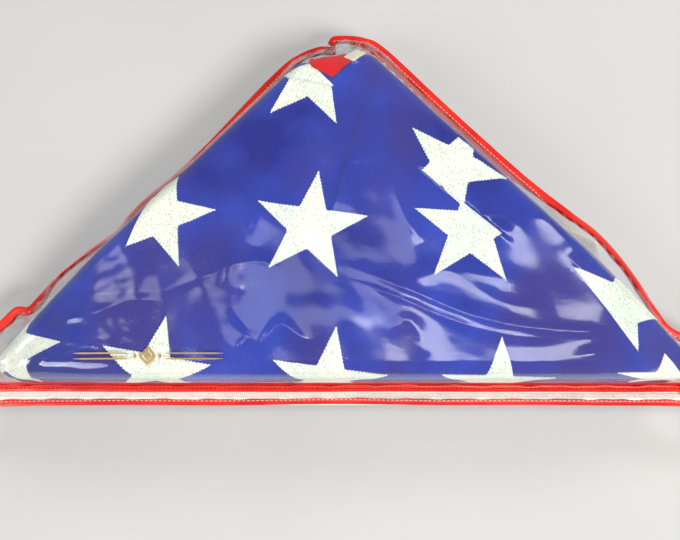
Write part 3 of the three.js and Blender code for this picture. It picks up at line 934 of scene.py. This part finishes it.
def tilted(section, angle):
    """A binding's section turned about its path."""
    c, s = math.cos(angle), math.sin(angle)
    return [(u * c - v * s, u * s + v * c) for u, v in section]


def side_binding(name, line, seed, node, tuck=0.0):
    path = wavy(line, seed)
    path[:, 2] -= tuck * smooth(6, 2, np.arange(len(path)))
    turned = upturn(path)
    points, faces = sweep(path, lambda i: tilted(binding_section(i, seed=seed), -0.95 * turned[i]))
    obj = make(name, points, faces, RED_VINYL, angle=60)
    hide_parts(node)
    level = turned < 0.02
    if node == "binding_left":
        level &= path[:, 1] > 60
    flat = path[level]
    points, faces = stitches(flat[3:-3], -LEG + 1.5, 1.78)
    make(f"{name}_stitches", points, faces, PALE_THREAD, angle=80)


side_binding("binding_right_vinyl", right_line, 1.0, "binding_right")
side_binding("binding_left_vinyl", left_line, 2.0, "binding_left", 3.9)


def scallops(line, name):
    """Seam allowance under a binding: its puckered edge shows through the clear sheet."""

    def section(i):
        shown = min(1.0, i / 12, (len(line) - 1 - i) / 12)
        bulge = shown * (1.6 + 2.4 * abs(math.sin(i * 2.5 * math.pi / 11.5)) ** 0.7)
        return [(-LEG + 1, -2.0), (-LEG - bulge, -2.3), (-LEG - bulge - 0.2, -2.6), (-LEG + 1, -2.6)]

    points, faces = sweep(wavy(line, 1.0), section)
    make(name, points, faces, RED_VINYL, angle=50)


scallops(right_line[(right_line[:, 1] > 166) & (right_line[:, 0] > 4)], "seam_allowance_right")

# ---- bindings along the zip ----
FRONT_HALF = 290.0
BACK_HALF = 331
ZIP_STEP = 2.5


def zip_wave(x):
    """The slow wander of the bindings along the zip."""
    return 0.5 * np.sin(x * 0.021 + 0.6) + 0.35 * np.sin(x * 0.047)


front_x = np.arange(-FRONT_HALF, FRONT_HALF + 0.1, ZIP_STEP)
front_y = -4.65 + 0.3 * zip_wave(front_x)
front_z = SEAM_Z + 2.3 + 0.3 * zip_wave(front_x * 1.3)
front_path = np.column_stack([front_x, front_y, front_z])


def front_section(i):
    return tilted(binding_section(i, 4.2, 1.35, 5.0), -0.12)


points, faces = sweep(front_path, front_section)
obj = make("zip_binding_front_vinyl", points, faces, RED_VINYL, angle=60)
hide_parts("zip_binding_front")


def inner_leg(i):
    """The binding's inner leg, turned up behind the clear sheet."""
    top = 3.6 + 0.9 * math.sin(i * 0.19) + 0.6 * math.sin(i * 0.43)
    return [(-3.5, -1.2), (-3.7, -0.7), (-5.9, top), (-6.3, top), (-4.3, -1.2)]


points, faces = sweep(front_path, inner_leg)
make("zip_binding_front_inner", points, faces, RED_VINYL, angle=50)
points, faces = stitches(front_path[2:-2], -1.6, 1.5, both=False)
make("zip_binding_front_stitches", points, faces, DARK_THREAD, angle=80)

back_x = np.arange(-BACK_HALF, BACK_HALF + 0.1, ZIP_STEP)
draw_in = 1.6 * smooth(300, 240, np.abs(back_x))
back_y = -16.6 + draw_in + 0.8 * zip_wave(back_x * 0.8 + 40)
back_path = np.column_stack([back_x, back_y, SEAM_Z + 0.5 * zip_wave(back_x)])
points, faces = sweep(back_path, lambda i: binding_section(i, 3.7, 1.75, 8.0))
obj = make("zip_binding_back_vinyl", points, faces, RED_VINYL, angle=60)
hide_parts("zip_binding_back")
points, faces = stitches(back_path[2:-2], -2.6, 1.78)
make("zip_binding_back_stitches", points, faces, PALE_THREAD, angle=80)


# ---- zip ----
def tape_strip(name, y0, y1, z, half, node):
    """A woven tape, rippled a little along its length."""
    across = 9
    ys = np.linspace(y0, y1, across)
    rows = []
    for x in np.arange(-half, half + 0.1, 3.0):
        dip = 0.12 * math.sin(x * 0.3) * np.sin((ys - y0) / (y1 - y0) * math.pi)
        up = np.column_stack([np.full(across, x), ys, z + 0.3 + dip])
        down = np.column_stack([np.full(across, x), ys[::-1], z - 0.3 + dip[::-1]])
        rows.append(np.vstack([up, down]))
    points = np.vstack(rows)
    ring, last = 2 * across, len(points) - 1
    faces = loft_faces(len(rows), ring)
    faces += [tuple(range(ring)), tuple(range(last, last - ring, -1))]
    obj = make(name, points, faces, TAPE, angle=50)
    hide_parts(node)


tape_strip("zip_tape_front_woven", ZIP_Y + 0.45, -0.8, ZIP_Z - 0.2, 288, "zip_tape_front")
tape_strip("zip_tape_back_woven", -16.0, ZIP_Y - 0.45, ZIP_Z - 0.2, 306, "zip_tape_back")


def coil(side, name, node):
    """Spiral of nylon wire whose turns pass between those of the other row."""
    pitch, wire, sides = 1.6, 0.43, 5
    turns, per = int(2 * ZIP_HALF / pitch), 9
    t = np.arange(turns * per + 1) / per
    phase = 0.0 if side > 0 else 0.5
    a = 2 * math.pi * t
    x = -ZIP_HALF + pitch * (t + phase * 0.999) - pitch * 0.5
    y = ZIP_Y + side * (1.0 + 1.12 * np.cos(a))
    z = ZIP_Z + 0.25 + 0.78 * np.sin(a)
    line = np.column_stack([x, y, z])
    run = np.gradient(line, axis=0)
    run /= np.linalg.norm(run, axis=1)[:, None]
    flat = np.cross(run, np.array([1.0, 0.0, 0.0]))
    flat /= np.linalg.norm(flat, axis=1)[:, None]
    other = np.cross(run, flat)
    rows = []
    for k in range(sides):
        b = 2 * math.pi * k / sides
        rows.append(line + wire * (math.cos(b) * flat + math.sin(b) * other))
    points = np.stack(rows, 1).reshape(-1, 3)
    faces = loft_faces(len(line), sides)
    obj = make(name, points, faces, NYLON)
    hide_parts(node)


coil(1, "zip_coil_front_spiral", "zip_coil_front")
coil(-1, "zip_coil_back_spiral", "zip_coil_back")


def plate(outline, z0, z1, soft=0.3):
    """A plate with softened edges, as stacked rings of its outline."""
    outline = np.array(outline, float)
    middle = outline.mean(0)
    d = outline - middle
    size = np.linalg.norm(d, axis=1)[:, None]
    edge = [(soft * 2.2, 0), (soft, 0), (0.25 * soft, 0.3 * soft), (0, soft)]
    levels = [(inset, z0 + rise) for inset, rise in edge]
    levels += [(inset, z1 - rise) for inset, rise in edge[::-1]]
    rows = []
    for inset, z in levels:
        rows.append(np.column_stack([middle + d * (1 - inset / size), np.full(len(outline), z)]))
    return ring_body(rows, [[*middle, z0]], [[*middle, z1]])


def rounded_box(x0, x1, y0, y1, radius):
    """Outline of a rectangle with round corners."""
    left, right, low, high = x0 + radius, x1 - radius, y0 + radius, y1 - radius
    pts = []
    for turn, (cx, cy) in enumerate(((right, high), (left, high), (left, low), (right, low))):
        for k in range(6):
            a = math.radians(90 * (turn + k / 5))
            pts.append((cx + radius * math.cos(a), cy + radius * math.sin(a)))
    return pts


slide_x = (slider_low.x + slider_high.x) * 500
pivot = Vector(joints["pull_hinge"]["pos_m"])
px, pz = pivot.x * 1000, pivot.z * 1000
plate_z = ZIP_Z + 1.3


def slider_outline(wide):
    """Shield shape: wide where the rows part, narrow where they meet."""
    flank = [(-6, 0.72), (-5.4, 0.86), (-3, 0.9), (0, 0.96), (2.5, 1), (4.6, 1.0), (5.6, 0.86), (6.0, 0.45)]
    pts = [(slide_x + u, ZIP_Y - wide * w) for u, w in flank]
    other = [(x, 2 * ZIP_Y - y) for x, y in pts[::-1]]
    return even(np.array(pts + other + pts[:1]), 0.7)[:-1]


def arch():
    """The bridge that holds the pull: a band bent over its bar."""
    half, foot = 2.7, plate_z + 0.6
    height = pz + 1.7 - foot
    line = []
    for a in np.linspace(0, math.pi, 15):
        line.append((px - half * math.cos(a), foot + height * math.sin(a) ** 0.55))
    line = np.array([(px - half, plate_z + 0.2), *line, (px + half, plate_z + 0.2)])
    run = np.gradient(line, axis=0)
    run /= np.linalg.norm(run, axis=1)[:, None]
    out = np.column_stack([-run[:, 1], run[:, 0]])
    band = [(-1.2, -0.25), (-1.0, -0.42), (1.0, -0.42), (1.2, -0.25)]
    band += [(-u, -v) for u, v in band]
    rows = []
    for p, n in zip(line, out):
        rows.append(np.array([(p[0] + n[0] * v, ZIP_Y + u, p[1] + n[1] * v) for u, v in band]))
    return ring_body(rows)


low_plate = slider_outline(2.2)
post = rounded_box(slide_x + 1.5, slide_x + 5.6, ZIP_Y - 0.32, ZIP_Y + 0.32, 0.3)
points, faces = merged([
    plate(slider_outline(2.85), plate_z, plate_z + 1.1),
    plate(low_plate, ZIP_Z - 2.35, ZIP_Z - 1.45),
    plate(post, ZIP_Z - 1.6, plate_z + 0.2, 0.05),
    arch(),
])  # fmt: skip
obj = make("zip_slider_body", points, faces, NICKEL, "slider", angle=45)
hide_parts("zip_slider")


def pull_tab():
    """Tongue with a hole, two arms and the bar that turns under the bridge."""
    n = 44
    outer, inner = [], []
    x0, x1 = px - 21, px - 4.4
    middle = (x0 + x1) / 2
    for k in range(n):
        a = 2 * math.pi * k / n
        c, s = math.cos(a), math.sin(a)
        half = 3.35 - 0.75 * smooth(x0, x1, middle + c * (x1 - x0) / 2)
        x = middle - 1.3 + (x1 - x0 + 4) / 2 * math.copysign(abs(c) ** 0.6, c)
        outer.append((x, ZIP_Y + half * math.copysign(abs(s) ** 0.6, s)))
        inner.append((px - 19.4 + 1.6 * c, ZIP_Y + 1.6 * s))
    outer, inner = np.array(outer), np.array(inner)
    centre = outer.mean(0)
    rows = []
    for z, inset in ((-0.5, 0.22), (-0.32, 0.0), (0.32, 0.0), (0.5, 0.22)):
        rows.append(np.column_stack([outer + (centre - outer) * inset * 0.12, np.full(n, pz + z)]))
    dip = []
    for f, z in ((0.55, 0.5), (0.5, 0.32), (0.0, 0.32)):
        ring = inner + (rows[0][:, :2] - inner) * (f * 0.72)
        dip.append(np.column_stack([ring, np.full(n, pz + z)]))
    rows += dip
    rows += [np.column_stack([r[:, :2], 2 * pz - r[:, 2]]) for r in dip[::-1]]
    points = np.vstack(rows)
    faces = loft_faces(len(rows), n)
    last = (len(rows) - 1) * n
    faces += [(last + i, last + (i + 1) % n, (i + 1) % n, i) for i in range(n)]
    arms = []
    for side in (-1, 1):
        y = ZIP_Y + side * 2.0
        outline = rounded_box(px - 5.6, px + 0.75, y - 0.5, y + 0.5, 0.45)
        arms.append(plate(outline, pz - 0.55, pz + 0.55, 0.2))
    circle = 0.55 * np.exp(1j * np.linspace(0, 2 * math.pi, 13)[:-1])
    y0, y1 = ZIP_Y - 2.1, ZIP_Y + 2.1
    rings = []
    for y in np.linspace(y0, y1, 7):
        rings.append(np.column_stack([px + circle.real, np.full(12, y), pz + circle.imag]))
    bar = ring_body(rings, [[px, y0, pz]], [[px, y1, pz]])
    return merged([(points, faces), *arms, bar])


points, faces = pull_tab()
obj = make("zip_pull_tab", points, faces, NICKEL, "pull", angle=40)
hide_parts("zip_pull")


def crimp(x, name, node):
    """A staple-like stop pressed over both rows."""
    outline = rounded_box(x - 1.5, x + 1.5, ZIP_Y - 2.0, ZIP_Y + 2.0, 0.7)
    points, faces = plate(outline, ZIP_Z - 0.9, ZIP_Z + 1.35, 0.4)
    obj = make(name, points, faces, NICKEL, angle=50)
    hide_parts(node)


for node in ("zip_stop_closed", "zip_stop_open"):
    lo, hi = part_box(node)
    crimp((lo.x + hi.x) * 500, f"{node}_crimp", node)


# ---- ornament in gold foil ----
def on_vinyl(p, lift):
    """Where plan points lie on the front panel."""
    return np.column_stack([p, vinyl(p, front_rim) + lift])


ox = (foil_low.x + foil_high.x) * 500
oy = (foil_low.y + foil_high.y) * 500 - Y0 * 1000


def rule(x0, x1, y, half):
    """A thin line that tapers to its ends."""
    n = 40
    xs = np.linspace(x0, x1, n)
    taper = half * np.minimum(1, 6 * np.minimum((xs - x0), (x1 - xs)) / (x1 - x0) + 0.15)
    rows = np.vstack([np.column_stack([xs, y - taper]), np.column_stack([xs, y + taper])])
    faces = [(i, i + 1, n + i + 1, n + i) for i in range(n - 1)]
    return rows, faces


def lozenge(x, y, w, h, hole=0.0):
    rim = even(np.array([(x - w, y), (x, y - h), (x + w, y), (x, y + h), (x - w, y)]), 1.0)[:-1]
    middle = np.array([x, y])
    if hole:
        return ring_body([middle + (rim - middle) * s for s in (hole, (1 + hole) / 2, 1)])
    return ring_body([middle + (rim - middle) * s for s in (0.3, 0.65, 1)], middle[None, :])


def ornament():
    parts = []
    for side in (-1, 1):
        x0, x1 = sorted((ox + side * 12, ox + side * 56))
        for y in (oy + 2.0, oy - 2.0):
            parts.append(rule(x0, x1, y, 0.55))
        parts.append(lozenge(ox + side * 9.2, oy, 1.5, 2.0))
    parts.append(lozenge(ox, oy, 6.4, 7.4, 0.72))
    parts.append(lozenge(ox, oy, 2.8, 3.2))
    flat, faces = merged(parts)
    points, faces = raised(flat, faces, 0.14, 0.12, on_vinyl)
    obj = make("foil_ornament_print", points, faces, FOIL, angle=60)
    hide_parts("foil_ornament")


ornament()


# ---- floor, lights and camera ----
def floor():
    n = 24
    xs = np.linspace(-9, 9, n)
    verts = [(x, y, -0.0005) for y in xs for x in xs]
    corners = [j * n + i for j in range(n - 1) for i in range(n - 1)]
    faces = [(a, a + 1, a + n + 1, a + n) for a in corners]
    mesh = bpy.data.meshes.new("floor")
    mesh.from_pydata(verts, [], faces)
    m = Paint("pale_floor", (0.56, 0.55, 0.53, 1), 0.7)
    m.colour(m.ramp(m.noise(3, 3), [(0.3, (0.54, 0.53, 0.51)), (0.7, (0.58, 0.57, 0.55))]))
    mesh.materials.append(m.mat)
    obj = bpy.data.objects.new("floor", mesh)
    bpy.context.collection.objects.link(obj)
    return obj


def lamp(name, place, aim, size, power, colour, shine=True):
    """An area light; without shine it lights the case but isn't mirrored in it."""
    data = bpy.data.lights.new(name, "AREA")
    data.shape = "ELLIPSE"
    data.size, data.size_y = size
    data.energy = power
    data.color = colour
    obj = bpy.data.objects.new(name, data)
    obj.location = place
    obj.visible_glossy = shine
    obj.rotation_mode = "QUATERNION"
    obj.rotation_quaternion = (Vector(aim) - Vector(place)).to_track_quat("-Z", "Y")
    bpy.context.collection.objects.link(obj)
    return obj


floor()
aim = (0, 0, 0.05)
lamp("window_right", (0.62, 0.15 + Y0, 1.5), (0.62, 0.15 + Y0, 0), (1.1, 0.25), 5, (1, 0.99, 0.97))
lamp("window_middle", (-0.08, 0.25 + Y0, 1.5), (-0.08, 0.25 + Y0, 0), (0.8, 0.3), 1.3, (0.98, 0.99, 1))
lamp("window_left", (-0.86, 0.3 + Y0, 1.5), (-0.86, 0.3 + Y0, 0), (0.4, 0.3), 0.9, (0.97, 0.98, 1))
lamp("key", (1.2, -1.6, 2.2), aim, (0.9, 0.9), 70, (1, 0.98, 0.95), shine=False)
lamp("fill", (-1.8, -1.1, 1.7), aim, (1.6, 1.2), 26, (0.96, 0.98, 1))
lamp("back", (0.9, 1.9, 1.8), aim, (1.4, 0.8), 30, (1, 1, 1), shine=False)
world = bpy.context.scene.world or bpy.data.worlds.new("world")
bpy.context.scene.world = world
world.use_nodes = True
sky = world.node_tree.nodes["Background"]
sky.inputs["Color"].default_value = (0.88, 0.92, 1, 1)
sky.inputs["Strength"].default_value = 0.16
bpy.context.scene.view_settings.view_transform = "Standard"

camera = bpy.data.cameras.new("camera")
camera.sensor_width = 36
camera.lens = 31.7647
view = bpy.data.objects.new("camera", camera)
view.location = (-0.004, Y0 - 0.0016, 0.530)
view.rotation_euler = (math.radians(11), 0, 0)
bpy.context.collection.objects.link(view)
bpy.context.scene.camera = view
